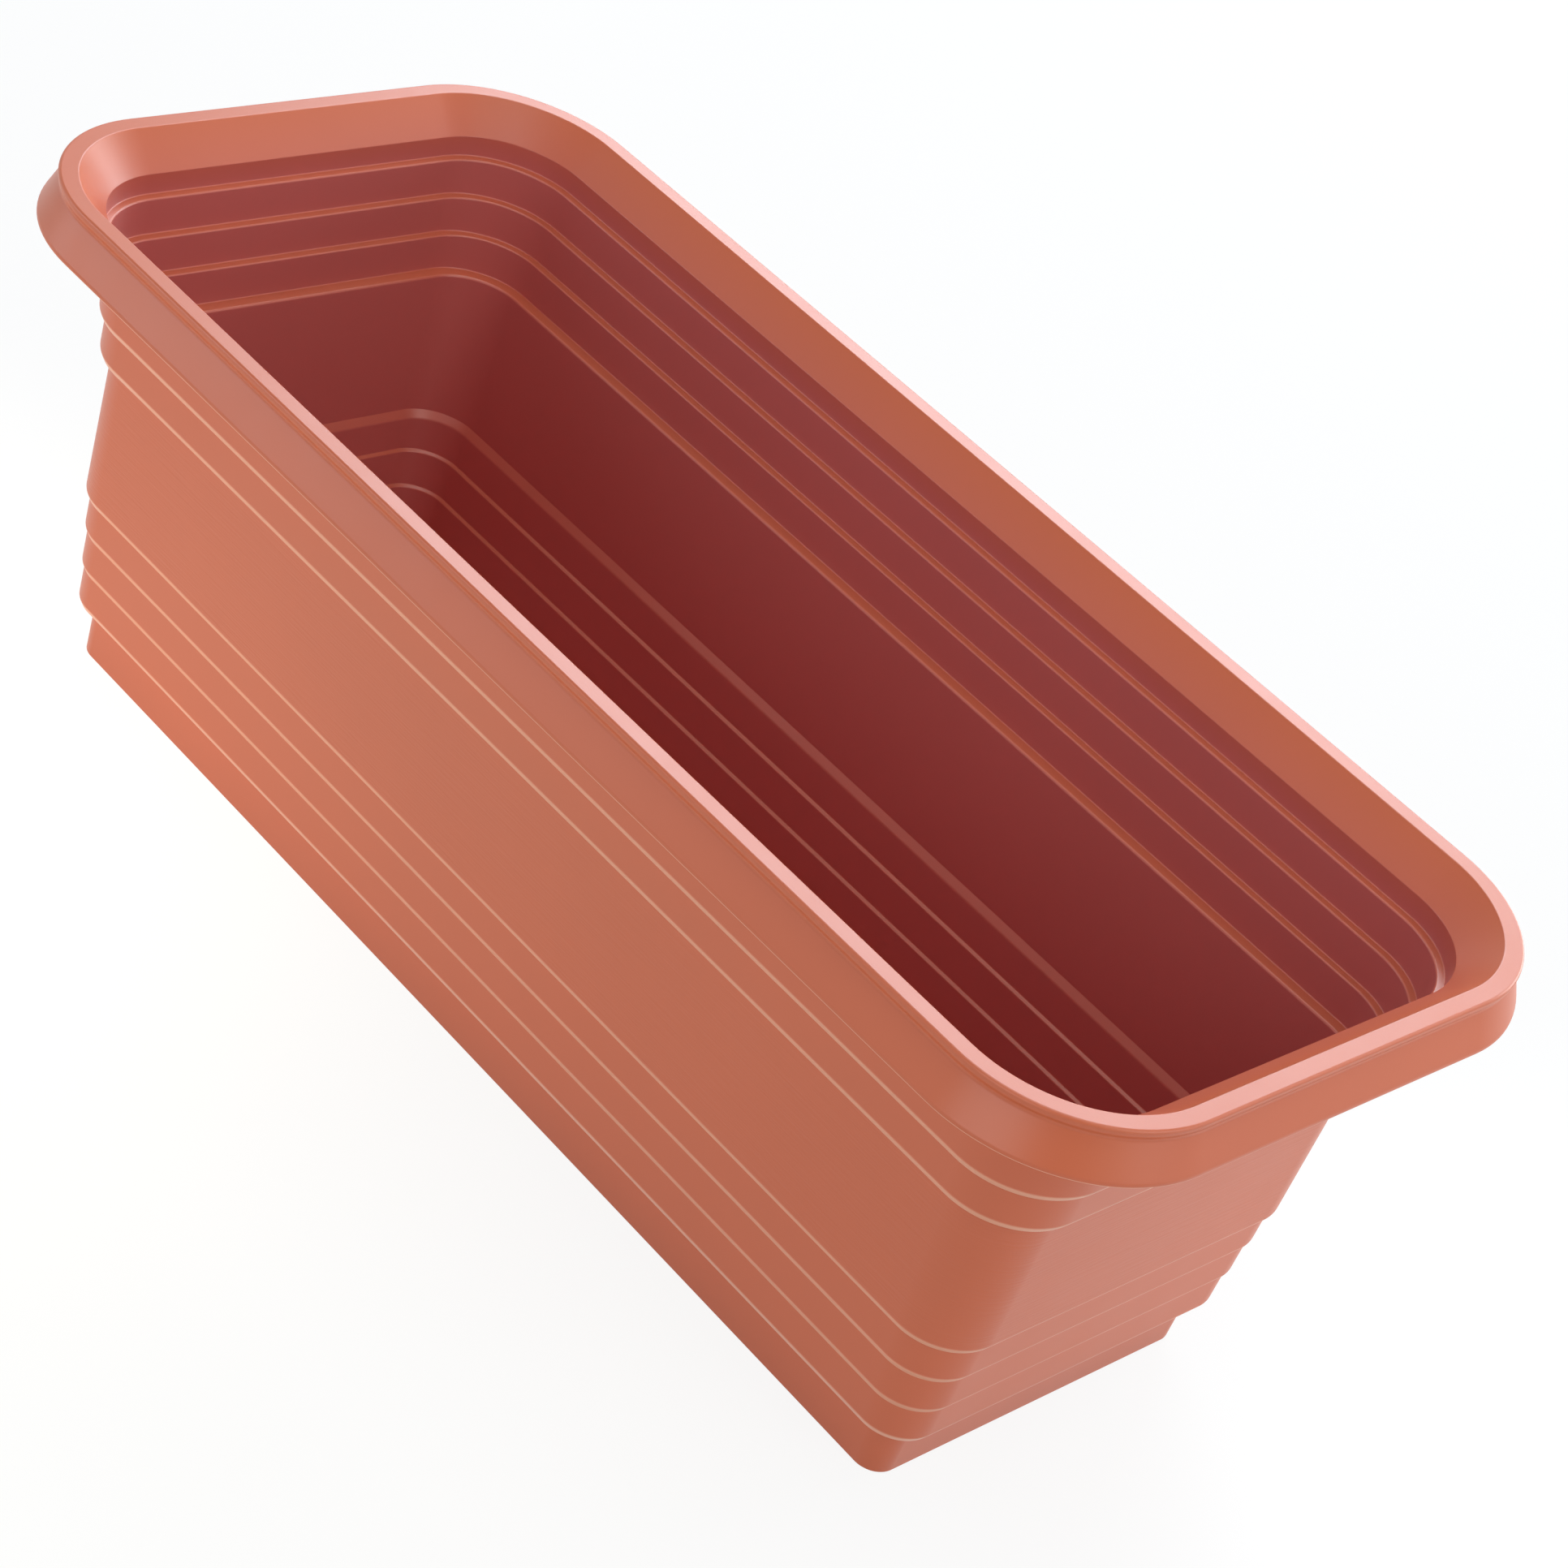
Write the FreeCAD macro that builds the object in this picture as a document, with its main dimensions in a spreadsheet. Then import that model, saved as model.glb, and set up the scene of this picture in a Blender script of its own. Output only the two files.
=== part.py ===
import FreeCAD, Part
import math
import os

# Window box planter: a balcony box moulded in one piece, with push-in drain plugs.
# Millimetres, X along the box, Y across it, Z up, Z = 0 on the ground.

doc = FreeCAD.newDocument("window_box_planter")

# ---------------------------------------------------------------- driving sizes
SIZES = [
    ("overall_length", 400.0),
    ("overall_width", 180.0),
    ("overall_height", 140.0),
    ("wall", 1.5),
    # rim: flat top, bevelled nose over a small cove, flared skirt, sloping collar
    ("rim_flat", 4.9),
    ("nose_height", 1.6),
    ("nose_bevel", 0.6),
    ("cove_depth", 0.8),
    ("cove_height", 1.4),
    ("skirt_flare", 3.15),
    ("skirt_drop", 13.1),
    ("skirt_edge", 1.1),
    ("collar_run", 8.2),
    ("collar_drop", 8.4),
    # stepped wall: three upper ledges, a shoulder, a plain band, four lower ledges
    ("draft_angle", 1.5),
    ("upper_ledge_depth", 14.2),
    ("upper_ledge_pitch", 10.3),
    ("upper_ledge_width", 2.05),
    ("upper_ledge_thickness", 2.3),
    ("shoulder_width", 3.25),
    ("shoulder_thickness", 3.6),
    ("lower_ledge_depth", 89.2),
    ("lower_ledge_pitch", 11.2),
    ("lower_ledge_thickness", 1.8),
    ("band_foot_width", 1.55),
    ("lower_ledge_width", 0.95),
    ("base_step_width", 4.66),
    ("ledge_bevel", 0.6),
    ("foot_corner_radius", 6.4),
    ("foot_bevel", 0.5),
    # raised floor
    ("floor_clearance", 2.5),
    ("floor_thickness", 1.8),
    ("floor_bevel", 1.6),
    # drain holes, in one row along the floor
    ("drain_count", 3),
    ("drain_pitch", 110.0),
    ("drain_bore", 10.0),
    ("drain_seat_diameter", 16.0),
    ("drain_seat_depth", 0.6),
    ("drain_boss_diameter", 16.0),
    ("drain_boss_drop", 1.3),
    # drain plugs
    ("plug_clearance", 0.3),
    ("plug_head_height", 1.8),
    ("plug_head_bevel", 0.8),
    ("plug_end_gap", 0.6),
    ("plug_end_bevel", 0.5),
    ("grip_length", 10.0),
    ("grip_width", 2.4),
    ("grip_height", 6.0),
    ("grip_radius", 2.5),
]

sheet = doc.addObject("Spreadsheet::Sheet", "Sizes")
for row, (name, value) in enumerate(SIZES, start=1):
    sheet.set("A%d" % row, name)
    sheet.set("B%d" % row, str(value))
    sheet.setAlias("B%d" % row, name)
doc.recompute()


def size(name):
    return float(sheet.get(name))


# ---------------------------------------------------------------- helpers
def rounded_outline(corners):
    """Lines and arcs of a closed outline; each corner is (across, up, radius)."""
    points = [FreeCAD.Vector(across, up, 0) for across, up, radius in corners]
    count = len(corners)
    arcs = []
    starts = []
    ends = []
    for index in range(count):
        here = points[index]
        radius = corners[index][2]
        if radius == 0:
            arcs.append(None)
            starts.append(here)
            ends.append(here)
            continue
        back = (points[index - 1] - here).normalize()
        ahead = (points[(index + 1) % count] - here).normalize()
        half_angle = back.getAngle(ahead) / 2
        run = radius / math.tan(half_angle)
        bisector = (back + ahead).normalize()
        crown = here + bisector * (radius / math.sin(half_angle) - radius)
        starts.append(here + back * run)
        ends.append(here + ahead * run)
        arcs.append(Part.Arc(starts[index], crown, ends[index]))
    outline = []
    for index in range(count):
        if arcs[index]:
            outline.append(arcs[index])
        following = starts[(index + 1) % count]
        if (following - ends[index]).Length > 1e-6:
            outline.append(Part.LineSegment(ends[index], following))
    return outline


def rounded_rectangle(half_length, half_width, radius):
    return rounded_outline([
        (half_length, -half_width, radius),
        (half_length, half_width, radius),
        (-half_length, half_width, radius),
        (-half_length, -half_width, radius),
    ])


def circles(centres, radius):
    up = FreeCAD.Vector(0, 0, 1)
    return [Part.Circle(FreeCAD.Vector(x, 0, 0), up, radius) for x in centres]


def add_sketch(body, name, role, outline, height_rule=None):
    """A sketch on one of the body's own planes, raised by an expression on the sizes."""
    sketch = body.newObject("Sketcher::SketchObject", name)
    plane = [f for f in body.Origin.OriginFeatures if f.Role == role][0]
    sketch.AttachmentSupport = [(plane, "")]
    sketch.MapMode = "FlatFace"
    if height_rule:
        sketch.setExpression("AttachmentOffset.Base.z", height_rule)
    sketch.addGeometry(outline, False)
    return sketch


def add_pad(body, name, sketch, length_rule, downwards=False):
    pad = body.newObject("PartDesign::Pad", name)
    pad.Profile = sketch
    pad.Reversed = downwards
    pad.setExpression("Length", length_rule)
    return pad


def add_pocket(body, name, sketch, length_rule):
    pocket = body.newObject("PartDesign::Pocket", name)
    pocket.Profile = sketch
    pocket.setExpression("Length", length_rule)
    return pocket


# ---------------------------------------------------------------- wall section
# An inset runs inwards from the rim's outer edge, a depth runs down from the rim top.
wall = size("wall")
slope = math.tan(math.radians(size("draft_angle")))
height = size("overall_height")
rim_half_length = size("overall_length") / 2 - size("skirt_flare")
rim_half_width = size("overall_width") / 2 - size("skirt_flare")
floor_top = size("floor_clearance") + size("floor_thickness")

ledges = []
for index in range(4):
    tread = size("upper_ledge_depth") + index * size("upper_ledge_pitch")
    if index < 3:
        ledges.append((tread, size("upper_ledge_width"), size("upper_ledge_thickness")))
    else:
        ledges.append((tread, size("shoulder_width"), size("shoulder_thickness")))
for index in range(4):
    tread = size("lower_ledge_depth") + index * size("lower_ledge_pitch")
    width = size("lower_ledge_width")
    if index == 0:
        width = size("band_foot_width")
    if index == 3:
        width = size("base_step_width")
    ledges.append((tread, width, size("lower_ledge_thickness")))

# The drafted bands between the ledges, inside and outside the wall.
inset = size("rim_flat") + size("collar_run")
depth = size("collar_drop")
inner_steps = []
outer_steps = []
for tread, width, thickness in ledges:
    inset += (tread - depth) * slope
    bevel = min(size("ledge_bevel"), 0.6 * width)
    step = tread + thickness
    lower_edge = inset + thickness * slope - wall
    inner_steps.append((inset, tread))
    inner_steps.append((inset + width, tread))
    outer_steps.append((lower_edge - bevel * slope, step - bevel))
    outer_steps.append((lower_edge + bevel, step))
    outer_steps.append((lower_edge + width, step))
    inset += width
    depth = tread
inner_foot = inset + (height - floor_top - depth) * slope
outer_foot = inset + (height - depth) * slope - wall
floor_start = inner_foot + size("floor_bevel") + 0.5 * wall

# The collar's outer face is one wall thickness from its inner face.
collar_rise = size("collar_run") / size("collar_drop")
collar_side = wall * math.hypot(1, collar_rise)
collar_root = size("rim_flat") + wall * collar_rise - collar_side
collar_end = size("rim_flat") + size("collar_run") - wall
collar_end_depth = (collar_end + collar_side - size("rim_flat")) / collar_rise
skirt_top = size("nose_height") + size("cove_height")
skirt_inside = size("cove_depth") + size("skirt_edge")

corners = [
    (size("rim_flat"), 0),
    (size("nose_bevel"), 0),
    (0, size("nose_bevel")),
    (0, size("nose_height")),
    (size("cove_depth"), skirt_top),
    (-size("skirt_flare"), size("skirt_drop") - size("skirt_edge")),
    (-size("skirt_flare"), size("skirt_drop")),
    (size("skirt_edge") - size("skirt_flare"), size("skirt_drop")),
    (skirt_inside, skirt_top),
    (skirt_inside + wall, wall),
    (collar_root, wall),
    (collar_end, collar_end_depth),
]
corners += outer_steps
corners += [
    (outer_foot - size("foot_bevel") * slope, height - size("foot_bevel")),
    (outer_foot + size("foot_bevel"), height),
    (outer_foot + wall, height),
    (outer_foot + wall, height - size("floor_clearance")),
    (floor_start, height - size("floor_clearance")),
    (floor_start, height - floor_top),
    (inner_foot + size("floor_bevel"), height - floor_top),
    (inner_foot - size("floor_bevel") * slope, height - floor_top - size("floor_bevel")),
]
corners += inner_steps[::-1]
corners += [(size("rim_flat") + size("collar_run"), size("collar_drop"))]

# ---------------------------------------------------------------- planter box
# All corners of the box share four centres, so the path's radius follows the foot's.
corner_radius = outer_foot + size("foot_corner_radius")
box = doc.addObject("PartDesign::Body", "planter_box")

section = [(inset - rim_half_width, height - depth, 0) for inset, depth in corners]
wall_section = add_sketch(box, "WallSection", "YZ_Plane", rounded_outline(section))
path = rounded_outline([
    (0, -rim_half_width, 0),
    (rim_half_length, -rim_half_width, corner_radius),
    (rim_half_length, rim_half_width, corner_radius),
    (-rim_half_length, rim_half_width, corner_radius),
    (-rim_half_length, -rim_half_width, corner_radius),
])
rim_path = add_sketch(box, "RimPath", "XY_Plane", path, "Sizes.overall_height")
walls = box.newObject("PartDesign::AdditivePipe", "Walls")
walls.Profile = wall_section
walls.Spine = (rim_path, [])
doc.recompute()

floor_outline = rounded_rectangle(
    rim_half_length - floor_start,
    rim_half_width - floor_start,
    corner_radius - floor_start,
)
floor_sketch = add_sketch(box, "FloorOutline", "XY_Plane", floor_outline, "Sizes.floor_clearance")
add_pad(box, "Floor", floor_sketch, "Sizes.floor_thickness")

drain_count = int(size("drain_count"))
drain_row = [(index - (drain_count - 1) / 2) * size("drain_pitch") for index in range(drain_count)]
boss_circles = circles(drain_row, size("drain_boss_diameter") / 2)
boss_sketch = add_sketch(box, "BossCircles", "XY_Plane", boss_circles, "Sizes.floor_clearance")
add_pad(box, "DrainBosses", boss_sketch, "Sizes.drain_boss_drop", downwards=True)

floor_level = "Sizes.floor_clearance + Sizes.floor_thickness"
seat_circles = circles(drain_row, size("drain_seat_diameter") / 2)
seat_sketch = add_sketch(box, "SeatCircles", "XY_Plane", seat_circles, floor_level)
add_pocket(box, "PlugSeats", seat_sketch, "Sizes.drain_seat_depth")
hole_circles = circles(drain_row, size("drain_bore") / 2)
hole_sketch = add_sketch(box, "HoleCircles", "XY_Plane", hole_circles, floor_level)
holes = add_pocket(box, "DrainHoles", hole_sketch, floor_level)
box.Tip = holes
doc.recompute()

# ---------------------------------------------------------------- drain plugs
# A plug's own zero is the underside of its head, which rests in the drain seat.
head_radius = size("drain_seat_diameter") / 2 - size("plug_clearance")
stem_radius = size("drain_bore") / 2 - size("plug_clearance")
stem_length = floor_top - size("drain_seat_depth") - size("plug_end_gap")
grip_half = size("grip_length") / 2
grip_top = size("plug_head_height") + size("grip_height")

plugs = []
for number, x in enumerate(drain_row, start=1):
    name = "drain_plug_%d" % number
    plug = doc.addObject("PartDesign::Body", name)
    plug_profile = rounded_outline([
        (0, size("plug_head_height"), 0),
        (0, -stem_length, 0),
        (stem_radius - size("plug_end_bevel"), -stem_length, 0),
        (stem_radius, size("plug_end_bevel") - stem_length, 0),
        (stem_radius, 0, 0),
        (head_radius, 0, 0),
        (head_radius, size("plug_head_height") - size("plug_head_bevel"), 0),
        (head_radius - size("plug_head_bevel"), size("plug_head_height"), 0),
    ])
    profile_sketch = add_sketch(plug, name + "_profile", "XZ_Plane", plug_profile)
    head = plug.newObject("PartDesign::Revolution", name + "_head")
    head.Profile = profile_sketch
    head.ReferenceAxis = (profile_sketch, ["V_Axis"])
    head.Angle = 360
    grip_outline = rounded_outline([
        (-grip_half, 0.5 * size("plug_head_height"), 0),
        (grip_half, 0.5 * size("plug_head_height"), 0),
        (grip_half, grip_top, size("grip_radius")),
        (-grip_half, grip_top, size("grip_radius")),
    ])
    grip_sketch = add_sketch(plug, name + "_grip_outline", "XZ_Plane", grip_outline)
    grip = add_pad(plug, name + "_grip", grip_sketch, "Sizes.grip_width")
    grip.Midplane = True
    plug.Tip = grip
    plug.Placement.Base.x = x
    plug.setExpression("Placement.Base.z", floor_level + " - Sizes.drain_seat_depth")
    plugs.append(plug)
doc.recompute()

# ---------------------------------------------------------------- checks and export
for item in doc.Objects:
    if "Invalid" in item.State or "Error" in item.State:
        raise RuntimeError("not built: " + item.Name)

nodes = [box] + plugs
os.makedirs("parts", exist_ok=True)
for node in nodes:
    node.Label = node.Name
    if node.Shape.isNull() or not node.Shape.isValid() or len(node.Shape.Solids) != 1:
        raise RuntimeError("bad solid: " + node.Name)
    node.Shape.exportStep("parts/%s.step" % node.Name)
    print(node.Name, round(node.Shape.Volume), "mm3")
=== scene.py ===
import math

import bmesh
import bpy
from mathutils import Matrix, Vector


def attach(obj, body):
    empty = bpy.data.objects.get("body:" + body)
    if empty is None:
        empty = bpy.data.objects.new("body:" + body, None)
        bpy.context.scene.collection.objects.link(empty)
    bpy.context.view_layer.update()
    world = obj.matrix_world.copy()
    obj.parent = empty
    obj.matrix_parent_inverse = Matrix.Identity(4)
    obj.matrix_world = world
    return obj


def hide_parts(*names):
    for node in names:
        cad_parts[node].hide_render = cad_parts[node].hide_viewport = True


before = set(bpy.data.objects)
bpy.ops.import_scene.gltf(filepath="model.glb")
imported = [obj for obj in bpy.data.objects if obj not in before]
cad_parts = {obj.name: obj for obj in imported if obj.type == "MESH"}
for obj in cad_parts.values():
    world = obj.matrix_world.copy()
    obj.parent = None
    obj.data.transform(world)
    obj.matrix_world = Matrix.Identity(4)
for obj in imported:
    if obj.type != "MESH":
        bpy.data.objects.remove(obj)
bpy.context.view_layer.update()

MM = 0.001

# ---------------------------------------------------------------- sizes of the box, in mm
# An inset runs inwards from the rim's outer edge, a depth runs down from the rim top.
LENGTH, WIDTH, HEIGHT = 400.0, 180.0, 140.0
WALL = 1.5
RIM_FLAT = 4.9
NOSE_HEIGHT, COVE_DEPTH, COVE_HEIGHT = 1.6, 0.8, 1.4
SKIRT_FLARE, SKIRT_DROP, SKIRT_EDGE = 3.15, 13.1, 1.1
COLLAR_RUN, COLLAR_DROP = 8.2, 8.4
SLOPE = math.tan(math.radians(1.5))
# Each ledge: depth of its tread, its width, its thickness, how far the tread's front edge
# drops, and the rounding of its outer lower edge and of its inner front edge.
LEDGES = [
    (14.2, 2.05, 2.3, 0.15, 1.9, 0.55),
    (24.5, 2.05, 2.3, 0.15, 1.9, 0.55),
    (34.8, 2.05, 2.3, 0.15, 1.9, 0.50),
    (45.1, 3.25, 3.6, 0.20, 1.9, 0.80),
    (89.2, 1.55, 1.8, 1.10, 1.9, 1.40),
    (100.4, 0.95, 1.8, 0.30, 1.9, 0.45),
    (111.6, 0.95, 1.8, 0.30, 1.9, 0.45),
    (122.8, 4.66, 1.8, 0.20, 1.9, 0.80),
]
# The underside of each outer ledge slants over this width, and falls by this much of it.
UNDERCUT, UNDERCUT_FALL = 1.0, 1.8
FOOT_CORNER_RADIUS = 6.4
FLOOR_CLEARANCE, FLOOR_THICKNESS, FLOOR_BEVEL = 2.5, 1.8, 1.6
DRAIN_ROW = (-110.0, 0.0, 110.0)
DRAIN_BORE_RADIUS, SEAT_RADIUS, SEAT_DEPTH = 5.0, 8.0, 0.6
BOSS_RADIUS, BOSS_DROP = 8.0, 1.3
HOLE_MARGIN = 1.2  # ring of flat floor that is meshed with each drain hole
# The plugs, and the tab on each that it is pulled out by.
PLUG_GAP, PLUG_HEAD_HEIGHT, PLUG_END_GAP = 0.3, 1.8, 0.6
GRIP_LENGTH, GRIP_WIDTH, GRIP_HEIGHT, GRIP_RADIUS, GRIP_EDGE = 10.0, 2.4, 6.0, 2.5, 0.6

HALF_LENGTH = LENGTH / 2 - SKIRT_FLARE
HALF_WIDTH = WIDTH / 2 - SKIRT_FLARE
FLOOR_TOP = FLOOR_CLEARANCE + FLOOR_THICKNESS

# Fineness of the meshes: the angle of one step of a rounding, and steps round a hole or plug.
ROUNDING_STEP = math.radians(11)
STRAIGHT = math.radians(179.8)
ROUNDING_REACH = 0.49  # the most of a run that one rounding may take up
ROUND_STEPS = 48
# How many parts the ring has at a corner, along the long sides and along the ends.
CORNER_PARTS, LONG_PARTS, SHORT_PARTS = 26, 24, 8


# ---------------------------------------------------------------- rounded outlines
def rounded_line(corners, closed=False):
    """Points and outward normals of an outline; each corner is (across, down, radius)."""
    points = [Vector((a, b)) for a, b, radius in corners]
    count = len(points)
    line = []
    for i, here in enumerate(points):
        radius = corners[i][2]
        ends = not closed and i in (0, count - 1)
        before = points[i - 1] if closed or i > 0 else None
        after = points[(i + 1) % count] if closed or i < count - 1 else None
        if ends:
            run = (after - here) if before is None else (here - before)
            line.append((here, normal_of(run)))
            continue
        back, ahead = (before - here), (after - here)
        turn = back.normalized().angle(ahead.normalized())
        if turn > STRAIGHT:
            line.append((here, normal_of(ahead - back)))
            continue
        reach = radius / math.tan(turn / 2)
        limit = ROUNDING_REACH * min(back.length, ahead.length)
        if reach > limit:
            reach = limit
            radius = reach * math.tan(turn / 2)
        start = here + back.normalized() * reach
        first, last = normal_of(-back), normal_of(ahead)
        side = 1 if first.dot(ahead) < 0 else -1
        centre = start - first * radius * side
        sweep = first.angle_signed(last)
        steps = max(2, math.ceil(abs(sweep) / ROUNDING_STEP))
        for k in range(steps + 1):
            n = first.copy()
            n.rotate(Matrix.Rotation(-sweep * k / steps, 2))
            line.append((centre + n * radius * side, n))
    return line


def normal_of(run):
    """The outward side of a run whose solid lies on its other side."""
    return Vector((run.y, -run.x)).normalized()


# ---------------------------------------------------------------- wall section
def wall_section():
    """The moulding's section from the floor's underside out, over the rim and in to its top.

    Gives its (across, down, radius) corners and the inset of the foot.
    """
    inset = RIM_FLAT + COLLAR_RUN
    depth = COLLAR_DROP
    inner, outer = [], []
    for tread, width, thickness, drop, outer_round, inner_round in LEDGES:
        inset += (tread - depth) * SLOPE
        lower = inset + thickness * SLOPE - WALL
        inner += [(inset, tread - drop, 0.35), (inset + width, tread + drop, inner_round)]
        step = tread + thickness
        lean = min(width, UNDERCUT)
        outer += [(lower, step - UNDERCUT_FALL * lean, outer_round), (lower + lean, step, 0.5)]
        if width > lean:
            outer += [(lower + width, step, 0.3)]
        inset += width
        depth = tread
    inner_foot = inset + (HEIGHT - FLOOR_TOP - depth) * SLOPE
    outer_foot = inset + (HEIGHT - depth) * SLOPE - WALL
    floor_start = inner_foot + FLOOR_BEVEL + 0.5 * WALL

    rise = COLLAR_RUN / COLLAR_DROP
    side = WALL * math.hypot(1, rise)
    root = RIM_FLAT + WALL * rise - side
    collar_end = RIM_FLAT + COLLAR_RUN - WALL
    collar_end_depth = (collar_end + side - RIM_FLAT) / rise
    skirt_top = NOSE_HEIGHT + COVE_HEIGHT
    skirt_inside = COVE_DEPTH + SKIRT_EDGE
    lip = SKIRT_EDGE - SKIRT_FLARE

    corners = [
        (floor_start, HEIGHT - FLOOR_CLEARANCE, 0),
        (outer_foot + WALL, HEIGHT - FLOOR_CLEARANCE, 0.6),
        (outer_foot + WALL, HEIGHT, 0.35),
        (outer_foot, HEIGHT, 0.55),
    ]
    corners += outer[::-1]
    corners += [
        (collar_end, collar_end_depth, 1.6),
        (root, WALL, 1.2),
        (skirt_inside + WALL, WALL, 0.8),
        (skirt_inside, skirt_top, 1.2),
        (lip, SKIRT_DROP, 0.4),
        (-SKIRT_FLARE, SKIRT_DROP, 0.55),
        (-SKIRT_FLARE, SKIRT_DROP - SKIRT_EDGE, 2.0),
        (COVE_DEPTH, skirt_top, 1.5),
        (0, NOSE_HEIGHT, 2.2),
        (0, 0, 0.75),
        (RIM_FLAT, 0, 0.55),
        (RIM_FLAT + COLLAR_RUN, COLLAR_DROP, 0.5),
    ]
    corners += inner
    corners += [
        (inner_foot, HEIGHT - FLOOR_TOP, 3.0),
        (floor_start, HEIGHT - FLOOR_TOP, 0),
    ]
    return corners, outer_foot


SECTION, OUTER_FOOT = wall_section()
CORNER_RADIUS = OUTER_FOOT + FOOT_CORNER_RADIUS
# Depth over which the outer tone of the plastic turns into the inner one, which is painted shade
# inside the box, and how much of the outer tone a level tread keeps, as painted light on it.
TONE_DEPTH, TREAD_LIGHT_SHARE = 14.0, 0.8
# Level of the foot, below which no outer ledge is, and how close to the rim top counts as on it.
FOOT_DEPTH, ON_TOP = HEIGHT - FLOOR_THICKNESS * 3, 0.01
# The steps' pale undersides are a painted highlight. By an underside's lean (0 upright, 1
# straight down): where pale starts, over how much it grows, where it ends and over how much it
# fades before that.
PALE_FROM, PALE_RISE, PALE_TO, PALE_FALL = 0.12, 0.25, 0.95, 0.2
# The plain band between the shoulder and the lower ledges shows mould streaks outside.
STREAKED_FROM, STREAKED_TO = LEDGES[3][0] + LEDGES[3][2] - 0.5, LEDGES[4][0] + 0.3


# ---------------------------------------------------------------- ring that the section goes round
def ring_stations():
    """(corner centre or a point between two, outward direction) all the way round."""
    cx, cy = HALF_LENGTH - CORNER_RADIUS, HALF_WIDTH - CORNER_RADIUS
    centres = [(cx, -cy, -90), (cx, cy, 0), (-cx, cy, 90), (-cx, -cy, 180)]
    stations = []
    for i, (x, y, start) in enumerate(centres):
        for k in range(CORNER_PARTS + 1):
            angle = math.radians(start + 90 * k / CORNER_PARTS)
            stations.append((Vector((x, y)), Vector((math.cos(angle), math.sin(angle)))))
        nx, ny, _ = centres[(i + 1) % 4]
        angle = math.radians(start + 90)
        outward = Vector((math.cos(angle), math.sin(angle)))
        parts = SHORT_PARTS if i in (0, 2) else LONG_PARTS
        for k in range(1, parts):
            stations.append((Vector((x, y)).lerp(Vector((nx, ny)), k / parts), outward))
    return stations


# ---------------------------------------------------------------- mesh builder
class Builder:
    """Collects vertices with exact normals, so that flats stay flat between roundings."""

    def __init__(self):
        self.bm = bmesh.new()
        self.inside = self.bm.verts.layers.float.new("inside")
        self.edge = self.bm.verts.layers.float.new("edge")
        self.streaked = self.bm.verts.layers.float.new("streaked")
        self.normals = []

    def vertex(self, point, normal, inside=0.0, edge=0.0, streaked=0.0):
        v = self.bm.verts.new(Vector(point) * MM)
        v[self.inside] = inside
        v[self.edge] = edge
        v[self.streaked] = streaked
        self.normals.append(Vector(normal).normalized())
        return v

    def skin(self, rows):
        """Quads between rows of vertices, each row a closed ring."""
        for near, far in zip(rows, rows[1:]):
            for i in range(len(near)):
                j = (i + 1) % len(near)
                self.bm.faces.new((near[i], near[j], far[j], far[i]))

    def cap(self, loops, up):
        """A level face between an outer loop and holes, looking up (1) or down (-1)."""
        edges = []
        for loop in loops:
            for i, v in enumerate(loop):
                w = loop[(i + 1) % len(loop)]
                edges.append(self.bm.edges.get((v, w)) or self.bm.edges.new((v, w)))
        bmesh.ops.triangle_fill(
            self.bm, edges=edges, use_beauty=True, use_dissolve=False, normal=(0, 0, up)
        )

    def make(self, name):
        bmesh.ops.recalc_face_normals(self.bm, faces=self.bm.faces)
        mesh = bpy.data.meshes.new(name)
        self.bm.to_mesh(mesh)
        self.bm.free()
        for face in mesh.polygons:
            face.use_smooth = True
        mesh.normals_split_custom_set_from_vertices([tuple(n) for n in self.normals])
        piece = bpy.data.objects.new(name, mesh)
        bpy.context.scene.collection.objects.link(piece)
        return piece


def lathe(builder, x, outline, inside_above):
    """Rings of (radius, height), with the solid on their right, about an upright axis at x."""
    rows = []
    for point, normal in outline:
        inside = 1.0 if point.y > inside_above else 0.0
        row = []
        for k in range(ROUND_STEPS):
            angle = 2 * math.pi * k / ROUND_STEPS
            c, s = math.cos(angle), math.sin(angle)
            place = (x + point.x * c, point.x * s, point.y)
            away = (-normal.x * c, -normal.x * s, -normal.y)
            row.append(builder.vertex(place, away, inside))
        rows.append(row)
    builder.skin(rows)
    return rows


# ---------------------------------------------------------------- planter box
def ramp(value, width):
    """0 to 1 over the width."""
    return min(1.0, max(0.0, value / width))


def painted_highlight_share(point, down):
    """How far a place on the outer wall belongs to the pale undersides of the steps, a painted
    highlight.
    """
    on_skirt = point.x < 0 and point.y > SKIRT_DROP - SKIRT_EDGE
    on_ledge = point.x > RIM_FLAT + COLLAR_RUN - WALL and point.y < FOOT_DEPTH
    if not (on_skirt or on_ledge):
        return 0.0
    return ramp(down - PALE_FROM, PALE_RISE) * ramp(PALE_TO - down, PALE_FALL)


def inside_shade_share(point, down):
    """How far a place inside the rim has the inner tone, a painted shade; the treads keep more of
    the outer one, as painted light on them.
    """
    share = min(1.0, point.y / TONE_DEPTH)
    above_floor = point.y < LEDGES[-1][0] + 1.0
    if above_floor:
        share *= 1 + TREAD_LIGHT_SHARE * min(0.0, down)
    return share


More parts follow.
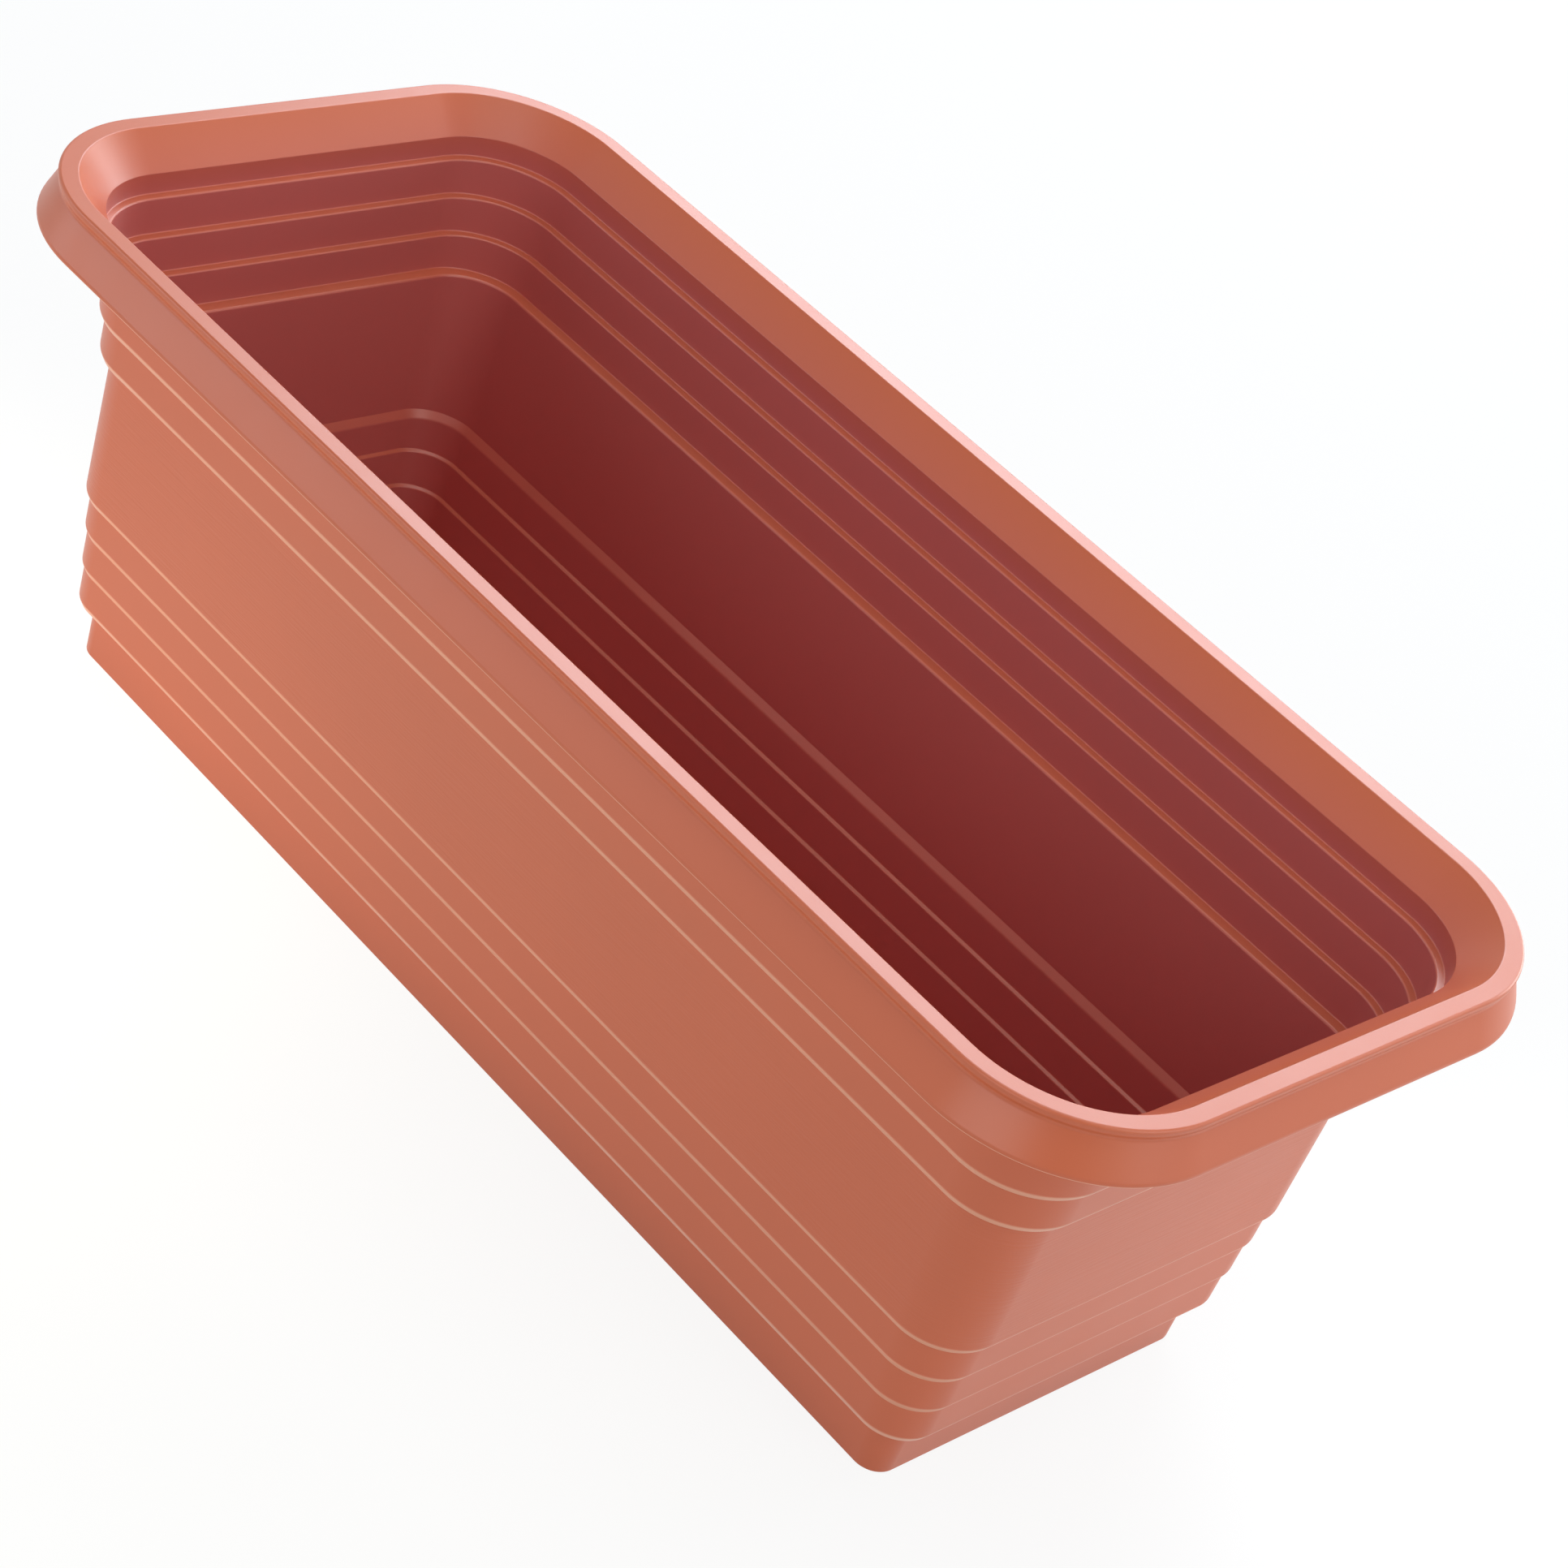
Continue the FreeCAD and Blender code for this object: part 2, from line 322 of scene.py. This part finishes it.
def make_box():
    b = Builder()
    stations = ring_stations()
    rows = []
    past_rim = False
    for point, normal in rounded_line(SECTION):
        past_rim = past_rim or (point.y < ON_TOP and point.x > RIM_FLAT / 2)
        # inside carries the painted shade inside the box, edge the painted highlight under the
        # outer steps.
        inside = inside_shade_share(point, normal.y) if past_rim else 0.0
        edge = 0.0 if past_rim else painted_highlight_share(point, normal.y)
        streaked = 0.0 if past_rim or not STREAKED_FROM < point.y < STREAKED_TO else 1.0
        row = []
        for centre, outward in stations:
            flat = centre + outward * (CORNER_RADIUS - point.x)
            place = (flat.x, flat.y, HEIGHT - point.y)
            side = outward * -normal.x
            row.append(b.vertex(place, (side.x, side.y, -normal.y), inside, edge, streaked))
        rows.append(row)
    b.skin(rows)

    boss_bottom = FLOOR_CLEARANCE - BOSS_DROP
    hole = [
        (BOSS_RADIUS + HOLE_MARGIN, FLOOR_CLEARANCE, 0),
        (BOSS_RADIUS, FLOOR_CLEARANCE, 0.3),
        (BOSS_RADIUS, boss_bottom, 0.3),
        (DRAIN_BORE_RADIUS, boss_bottom, 0.2),
        (DRAIN_BORE_RADIUS, FLOOR_TOP - SEAT_DEPTH, 0.15),
        (SEAT_RADIUS, FLOOR_TOP - SEAT_DEPTH, 0.15),
        (SEAT_RADIUS, FLOOR_TOP, 0.2),
        (SEAT_RADIUS + HOLE_MARGIN, FLOOR_TOP, 0),
    ]
    under, over = [rows[0]], [rows[-1]]
    for x in DRAIN_ROW:
        rings = lathe(b, x, rounded_line(hole), FLOOR_CLEARANCE + 0.1)
        under.append(rings[0])
        over.append(rings[-1])
    b.cap(under, -1)
    b.cap(over, 1)
    return b.make("planter_box_shell")


# ---------------------------------------------------------------- drain plugs
def make_plug(number, x):
    """A stem, a head that sits in the seat and a tab to pull it out by, all rounded."""
    seat = FLOOR_TOP - SEAT_DEPTH
    head_top = seat + PLUG_HEAD_HEIGHT
    head_radius, stem_radius = SEAT_RADIUS - PLUG_GAP, DRAIN_BORE_RADIUS - PLUG_GAP
    profile = [
        (0, head_top, 0),
        (head_radius, head_top, 0.8),
        (head_radius, seat, 0.15),
        (stem_radius, seat, 0.15),
        (stem_radius, PLUG_END_GAP, 0.5),
        (0, PLUG_END_GAP, 0),
    ]
    b = Builder()
    outline = rounded_line(profile)
    rows = lathe(b, x, outline[1:-1], FLOOR_CLEARANCE)
    for row, (point, normal) in ((rows[0], outline[0]), (rows[-1], outline[-1])):
        tip = b.vertex((x, 0, point.y), (0, 0, -normal.y))
        for i, v in enumerate(row):
            b.bm.faces.new((v, row[(i + 1) % len(row)], tip))
    grip_tab(b, x, seat + 0.5 * PLUG_HEAD_HEIGHT, head_top + GRIP_HEIGHT)
    return b.make("plug_%d_body" % number)


def grip_tab(b, x, bottom, top):
    """An upright tab with rounded upper corners; its flat faces look along Y."""
    half, thick = GRIP_LENGTH / 2, GRIP_WIDTH / 2
    edge = []  # the rounding from a flat face to the tab's outline, as (inset, half width, turn)
    edge_steps = 4
    for k in range(edge_steps + 1):
        turn = math.radians(90 * k / edge_steps)
        inset = GRIP_EDGE * (1 - math.sin(turn))
        edge.append((inset, thick - GRIP_EDGE * (1 - math.cos(turn)), turn))
    sides = [(inset, y, turn, 1) for inset, y, turn in edge]
    sides += [(inset, y, turn, -1) for inset, y, turn in reversed(edge)]
    rows = []
    for inset, y, turn, way in sides:
        corners = [
            (half - inset, bottom, 0.1),
            (half - inset, top - inset, GRIP_RADIUS - inset),
            (inset - half, top - inset, GRIP_RADIUS - inset),
            (inset - half, bottom, 0.1),
        ]
        row = []
        for point, normal in rounded_line(corners, closed=True):
            flat = Vector((normal.x, 0, normal.y)) * math.sin(turn)
            across = Vector((0, way, 0)) * math.cos(turn)
            row.append(b.vertex((x + point.x, way * y, point.y), flat + across, 1.0))
        rows.append(row)
    b.skin(rows)
    for flat_face in (rows[0], rows[-1]):
        b.bm.faces.new(flat_face)


# ---------------------------------------------------------------- materials
# The inner tones are painted shade: the plastic is one colour, and the bluer inner tone stands in
# for the colour of the shade inside the box.
OUTER_TONE, INSIDE_SHADE_TONE = (0.545, 0.112, 0.041), (0.500, 0.122, 0.110)
# A painted highlight: the pale tone of the steps' undersides stands in for the bright floor they
# reflect.
PAINTED_HIGHLIGHT_TONE = (0.66, 0.27, 0.155)
# The plug's inner tone is painted shade too.
PLUG_OUTER_TONE, PLUG_INSIDE_SHADE_TONE = (0.42, 0.085, 0.040), (0.42, 0.095, 0.075)
BOX_ROUGHNESS, PLUG_ROUGHNESS, ROUGHNESS_SPREAD = 0.36, 0.42, 0.04
PLASTIC_IOR = 1.52
BLOTCHES = (0.93, 1.07)  # darkest and lightest factor on the tone
GRAIN_STRENGTH, GRAIN_HEIGHT, STREAK_HEIGHT = 0.35, 0.00002, 0.00007
BLOTCH_SCALE, GLOSS_SCALE, GRAIN_SCALE = 9.0, 60.0, 1600.0
STREAK_SCALE = (50.0, 50.0, 1900.0)


def noise(tree, vector, scale, detail):
    """A noise pattern of 0 to 1."""
    pattern = tree.nodes.new("ShaderNodeTexNoise")
    pattern.inputs["Scale"].default_value = scale
    pattern.inputs["Detail"].default_value = detail
    tree.links.new(vector, pattern.inputs["Vector"])
    return pattern.outputs["Fac"]


def spread(tree, value, low, high):
    """A value of 0 to 1, moved to low to high."""
    span = tree.nodes.new("ShaderNodeMapRange")
    span.inputs["To Min"].default_value = low
    span.inputs["To Max"].default_value = high
    tree.links.new(value, span.inputs["Value"])
    return span.outputs["Result"]


def layer(tree, name):
    """One of the mesh's own 0 to 1 layers."""
    attribute = tree.nodes.new("ShaderNodeAttribute")
    attribute.attribute_name = name
    return attribute.outputs["Fac"]


def blend(tree, factor, tone):
    """A colour mix that turns to the tone as the factor rises; the first colour is left open."""
    mix = tree.nodes.new("ShaderNodeMix")
    mix.data_type = "RGBA"
    mix.inputs["B"].default_value = (*tone, 1)
    tree.links.new(factor, mix.inputs["Factor"])
    return mix


def bump(tree, height, strength, distance):
    """A bump node; what it stands on is left open."""
    relief = tree.nodes.new("ShaderNodeBump")
    relief.inputs["Strength"].default_value = strength
    relief.inputs["Distance"].default_value = distance
    tree.links.new(height, relief.inputs["Height"])
    return relief


def plastic(name, outer, inner, roughness):
    """Satin moulded plastic, redder inside, where the tone is painted shade, and pale under the
    steps, where it is a painted highlight: soft blotches, a fine grain and uneven gloss.
    """
    material = bpy.data.materials.new(name)
    material.use_nodes = True
    tree = material.node_tree
    shader = tree.nodes["Principled BSDF"]
    shader.inputs["IOR"].default_value = PLASTIC_IOR
    place = tree.nodes.new("ShaderNodeTexCoord").outputs["Object"]

    # The inside tone is painted shade.
    tones = blend(tree, layer(tree, "inside"), inner)
    tones.inputs["A"].default_value = (*outer, 1)
    # The pale tone under the steps is a painted highlight.
    painted_highlight = blend(tree, layer(tree, "edge"), PAINTED_HIGHLIGHT_TONE)
    tree.links.new(tones.outputs["Result"], painted_highlight.inputs["A"])
    colour = tree.nodes.new("ShaderNodeVectorMath")
    colour.operation = "SCALE"
    tree.links.new(painted_highlight.outputs["Result"], colour.inputs[0])
    blotches = spread(tree, noise(tree, place, BLOTCH_SCALE, 4.0), *BLOTCHES)
    tree.links.new(blotches, colour.inputs["Scale"])
    tree.links.new(colour.outputs["Vector"], shader.inputs["Base Color"])

    gloss = noise(tree, place, GLOSS_SCALE, 3.0)
    uneven = spread(tree, gloss, roughness - ROUGHNESS_SPREAD, roughness + ROUGHNESS_SPREAD)
    tree.links.new(uneven, shader.inputs["Roughness"])

    stretch = tree.nodes.new("ShaderNodeMapping")
    stretch.inputs["Scale"].default_value = STREAK_SCALE
    tree.links.new(place, stretch.inputs["Vector"])
    height = tree.nodes.new("ShaderNodeMath")
    height.operation = "MULTIPLY"
    tree.links.new(noise(tree, stretch.outputs["Vector"], 1.0, 2.0), height.inputs[0])
    tree.links.new(layer(tree, "streaked"), height.inputs[1])
    streaks = bump(tree, height.outputs[0], 1.0, STREAK_HEIGHT)
    grain = bump(tree, noise(tree, place, GRAIN_SCALE, 2.0), GRAIN_STRENGTH, GRAIN_HEIGHT)
    tree.links.new(streaks.outputs["Normal"], grain.inputs["Normal"])
    tree.links.new(grain.outputs["Normal"], shader.inputs["Normal"])
    return material


BOX_PLASTIC = plastic("box_plastic_terracotta", OUTER_TONE, INSIDE_SHADE_TONE, BOX_ROUGHNESS)
PLUG_PLASTIC = plastic(
    "plug_plastic_terracotta", PLUG_OUTER_TONE, PLUG_INSIDE_SHADE_TONE, PLUG_ROUGHNESS
)

box_piece = make_box()
box_piece.data.materials.append(BOX_PLASTIC)
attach(box_piece, "box")
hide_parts("planter_box")

for plug_number, plug_x in enumerate(DRAIN_ROW, 1):
    plug_piece = make_plug(plug_number, plug_x)
    plug_piece.data.materials.append(PLUG_PLASTIC)
    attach(plug_piece, "plug_%d" % plug_number)
    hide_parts("drain_plug_%d" % plug_number)


# ---------------------------------------------------------------- stage
WHITE_SHARE = 0.88  # of the table's look that is plain white; the rest shows the soft shadow
TABLE_SIZE = 12
WORLD_STRENGTH = 0.02


def seen_rays(tree):
    """1 for the rays by which the camera, a reflection or glass sees a surface, else 0."""
    rays = tree.nodes.new("ShaderNodeLightPath")
    total = None
    for ray in ("Is Camera Ray", "Is Glossy Ray", "Is Transmission Ray"):
        if total is None:
            total = rays.outputs[ray]
            continue
        either = tree.nodes.new("ShaderNodeMath")
        either.operation = "MAXIMUM"
        tree.links.new(total, either.inputs[0])
        tree.links.new(rays.outputs[ray], either.inputs[1])
        total = either.outputs[0]
    return total


# Painted light on the table, an emission that lights the box in place of light the table would
# give back: one level all over, as (strength, tint), and round pools, as (centre in metres,
# radius, strength, tint).
GLOW_EVERYWHERE = (0.04, (1.0, 0.95, 0.80))
GLOWS = [
    ((-0.05, -0.30), 0.45, 0.45, (1.0, 0.95, 0.69)),
    ((-0.15, -0.15), 0.25, 0.72, (1.0, 0.95, 0.69)),
    ((-0.15, -0.10), 0.16, 0.50, (1.0, 0.95, 0.72)),
    ((0.30, 0.16), 0.22, 1.20, (0.9, 0.97, 1.0)),
]


def glow_light(nodes, links):
    """Emission painted on the table as light: one level all over, and round pools that fade
    outwards.
    """
    place = nodes.new("ShaderNodeTexCoord")
    level, tint = GLOW_EVERYWHERE
    total = nodes.new("ShaderNodeRGB").outputs[0]
    total.default_value = (*[level * c for c in tint], 1)
    for (x, y), radius, strength, tint in GLOWS:
        away = nodes.new("ShaderNodeVectorMath")
        away.operation = "DISTANCE"
        away.inputs[1].default_value = (x, y, 0)
        links.new(place.outputs["Object"], away.inputs[0])
        fade = nodes.new("ShaderNodeMapRange")
        fade.interpolation_type = "SMOOTHSTEP"
        fade.inputs["From Max"].default_value = radius
        fade.inputs["To Min"].default_value = 1.0
        fade.inputs["To Max"].default_value = 0.0
        links.new(away.outputs["Value"], fade.inputs["Value"])
        pool = nodes.new("ShaderNodeMix")
        pool.data_type = "RGBA"
        pool.blend_type = "ADD"
        pool.clamp_result = False
        links.new(fade.outputs["Result"], pool.inputs["Factor"])
        links.new(total, pool.inputs["A"])
        pool.inputs["B"].default_value = (*[strength * c for c in tint], 1)
        total = pool.outputs["Result"]
    return total


def floor():
    """A white table, lit and glowing with painted pools of light, that the camera sees as plain
    white with a faint shadow.
    """
    material = bpy.data.materials.new("stage_white")
    material.use_nodes = True
    nodes, links = material.node_tree.nodes, material.node_tree.links
    shader = nodes["Principled BSDF"]
    shader.inputs["Base Color"].default_value = (0.70, 0.70, 0.70, 1)
    shader.inputs["Roughness"].default_value = 0.9
    shader.inputs["Specular IOR Level"].default_value = 0.0
    # Painted light: the table glows in pools and so lights the box.
    glow = nodes.new("ShaderNodeEmission")
    links.new(glow_light(nodes, links), glow.inputs["Color"])
    lit = nodes.new("ShaderNodeAddShader")
    links.new(shader.outputs[0], lit.inputs[0])
    links.new(glow.outputs[0], lit.inputs[1])
    white = nodes.new("ShaderNodeEmission")
    white.inputs["Strength"].default_value = 1.0
    share = nodes.new("ShaderNodeMath")
    share.operation = "MULTIPLY"
    share.inputs[1].default_value = WHITE_SHARE
    links.new(seen_rays(material.node_tree), share.inputs[0])
    mix = nodes.new("ShaderNodeMixShader")
    links.new(share.outputs[0], mix.inputs["Fac"])
    links.new(lit.outputs[0], mix.inputs[1])
    links.new(white.outputs[0], mix.inputs[2])
    links.new(mix.outputs[0], nodes["Material Output"].inputs["Surface"])
    bpy.ops.mesh.primitive_plane_add(size=TABLE_SIZE)
    plane = bpy.context.object
    plane.name = "stage_floor"
    plane.data.materials.append(material)


def shaded_ground():
    """The dark ground within the foot, seen only through a drain hole whose plug is out."""
    material = bpy.data.materials.new("stage_shade")
    material.use_nodes = True
    shader = material.node_tree.nodes["Principled BSDF"]
    shader.inputs["Base Color"].default_value = (0.25, 0.24, 0.23, 1)
    shader.inputs["Roughness"].default_value = 0.9
    bpy.ops.mesh.primitive_plane_add(size=2, location=(0, 0, 0.2 * MM))
    plate = bpy.context.object
    plate.name = "stage_shaded_ground"
    margin = OUTER_FOOT + 2 * WALL
    plate.scale = ((HALF_LENGTH - margin) * MM, (HALF_WIDTH - margin) * MM, 1)
    plate.data.materials.append(material)


def studio_world():
    """White where it is seen or reflected, and a faint even light otherwise."""
    world = bpy.data.worlds.new("studio")
    bpy.context.scene.world = world
    world.use_nodes = True
    tree = world.node_tree
    background = tree.nodes["Background"]
    background.inputs["Color"].default_value = (1, 1, 1, 1)
    background.inputs["Strength"].default_value = WORLD_STRENGTH
    bright = tree.nodes.new("ShaderNodeBackground")
    bright.inputs["Color"].default_value = (1, 1, 1, 1)
    bright.inputs["Strength"].default_value = 1.0
    choose = tree.nodes.new("ShaderNodeMixShader")
    tree.links.new(seen_rays(tree), choose.inputs["Fac"])
    tree.links.new(background.outputs[0], choose.inputs[1])
    tree.links.new(bright.outputs[0], choose.inputs[2])
    tree.links.new(choose.outputs[0], tree.nodes["World Output"].inputs["Surface"])


floor()
shaded_ground()
studio_world()


def softbox(name, azimuth, elevation, distance, side, watts, colour):
    """A plain square lamp aimed at the box; azimuth 0 is on the +X side and 90 on the +Y side."""
    a, e = math.radians(azimuth), math.radians(elevation)
    aim = Vector((0, 0, HEIGHT / 2 * MM))
    away = Vector((math.cos(a) * math.cos(e), math.sin(a) * math.cos(e), math.sin(e)))
    light = bpy.data.lights.new(name, "AREA")
    light.size = side
    light.energy = watts
    light.color = colour
    lamp = bpy.data.objects.new(name, light)
    lamp.location = aim + away * distance
    lamp.rotation_mode = "QUATERNION"
    lamp.rotation_quaternion = (-away).to_track_quat("-Z", "Y")
    bpy.context.scene.collection.objects.link(lamp)


WARM, COOL, BLUE = (1.0, 0.97, 0.82), (0.88, 0.96, 1.0), (0.80, 0.90, 1.0)
# name, azimuth, elevation, distance and side in metres, watts, colour
LAMPS = [
    ("softbox_back_low", 84, 12, 2.0, 1.2, 26, COOL),
    ("softbox_back", 123, 36, 2.0, 1.1, 26, BLUE),
    ("softbox_top", 90, 88, 2.0, 1.5, 18, COOL),
    ("softbox_right_back", 65, 22, 2.0, 1.5, 6, COOL),
    ("softbox_right", 0, 15, 2.0, 1.5, 4, WARM),
    ("softbox_right_high", 0, 45, 2.0, 1.0, 4.5, WARM),
    ("softbox_front", -75, 15, 2.0, 1.5, 14, COOL),
    ("softbox_left", -138, 12, 2.0, 1.2, 11, BLUE),
    ("fill_right_end", 10, 24, 0.7, 0.4, 0.9, BLUE),
]
for lamp_facts in LAMPS:
    softbox(*lamp_facts)

# ---------------------------------------------------------------- camera
# Right, down and forward directions of the view, and the lens centre in picture pixels.
VIEW_RIGHT = Vector((0.638903, 0.708804, 0.298999))
VIEW_DOWN = Vector((0.620000, -0.244342, -0.745585))
VIEW_FORWARD = Vector((-0.455415, 0.661736, -0.595569))
CAMERA_PLACE = Vector((0.46507, -0.59658, 0.58532))
FOCAL_PIXELS, CENTRE_X, CENTRE_Y = 4568.29, 980.68, 1188.66
PICTURE = 1932
SENSOR = 36.0

camera_data = bpy.data.cameras.new("camera")
camera_data.sensor_width = SENSOR
camera_data.lens = FOCAL_PIXELS / PICTURE * SENSOR
camera_data.shift_x = -(CENTRE_X - PICTURE / 2) / PICTURE
camera_data.shift_y = (CENTRE_Y - PICTURE / 2) / PICTURE
camera_data.clip_start, camera_data.clip_end = 0.05, 50.0
camera = bpy.data.objects.new("camera", camera_data)
bpy.context.scene.collection.objects.link(camera)
axes = Matrix((VIEW_RIGHT, -VIEW_DOWN, -VIEW_FORWARD)).transposed()
camera.matrix_world = Matrix.Translation(CAMERA_PLACE) @ axes.to_4x4()
bpy.context.scene.camera = camera
bpy.context.scene.view_settings.view_transform = "Standard"
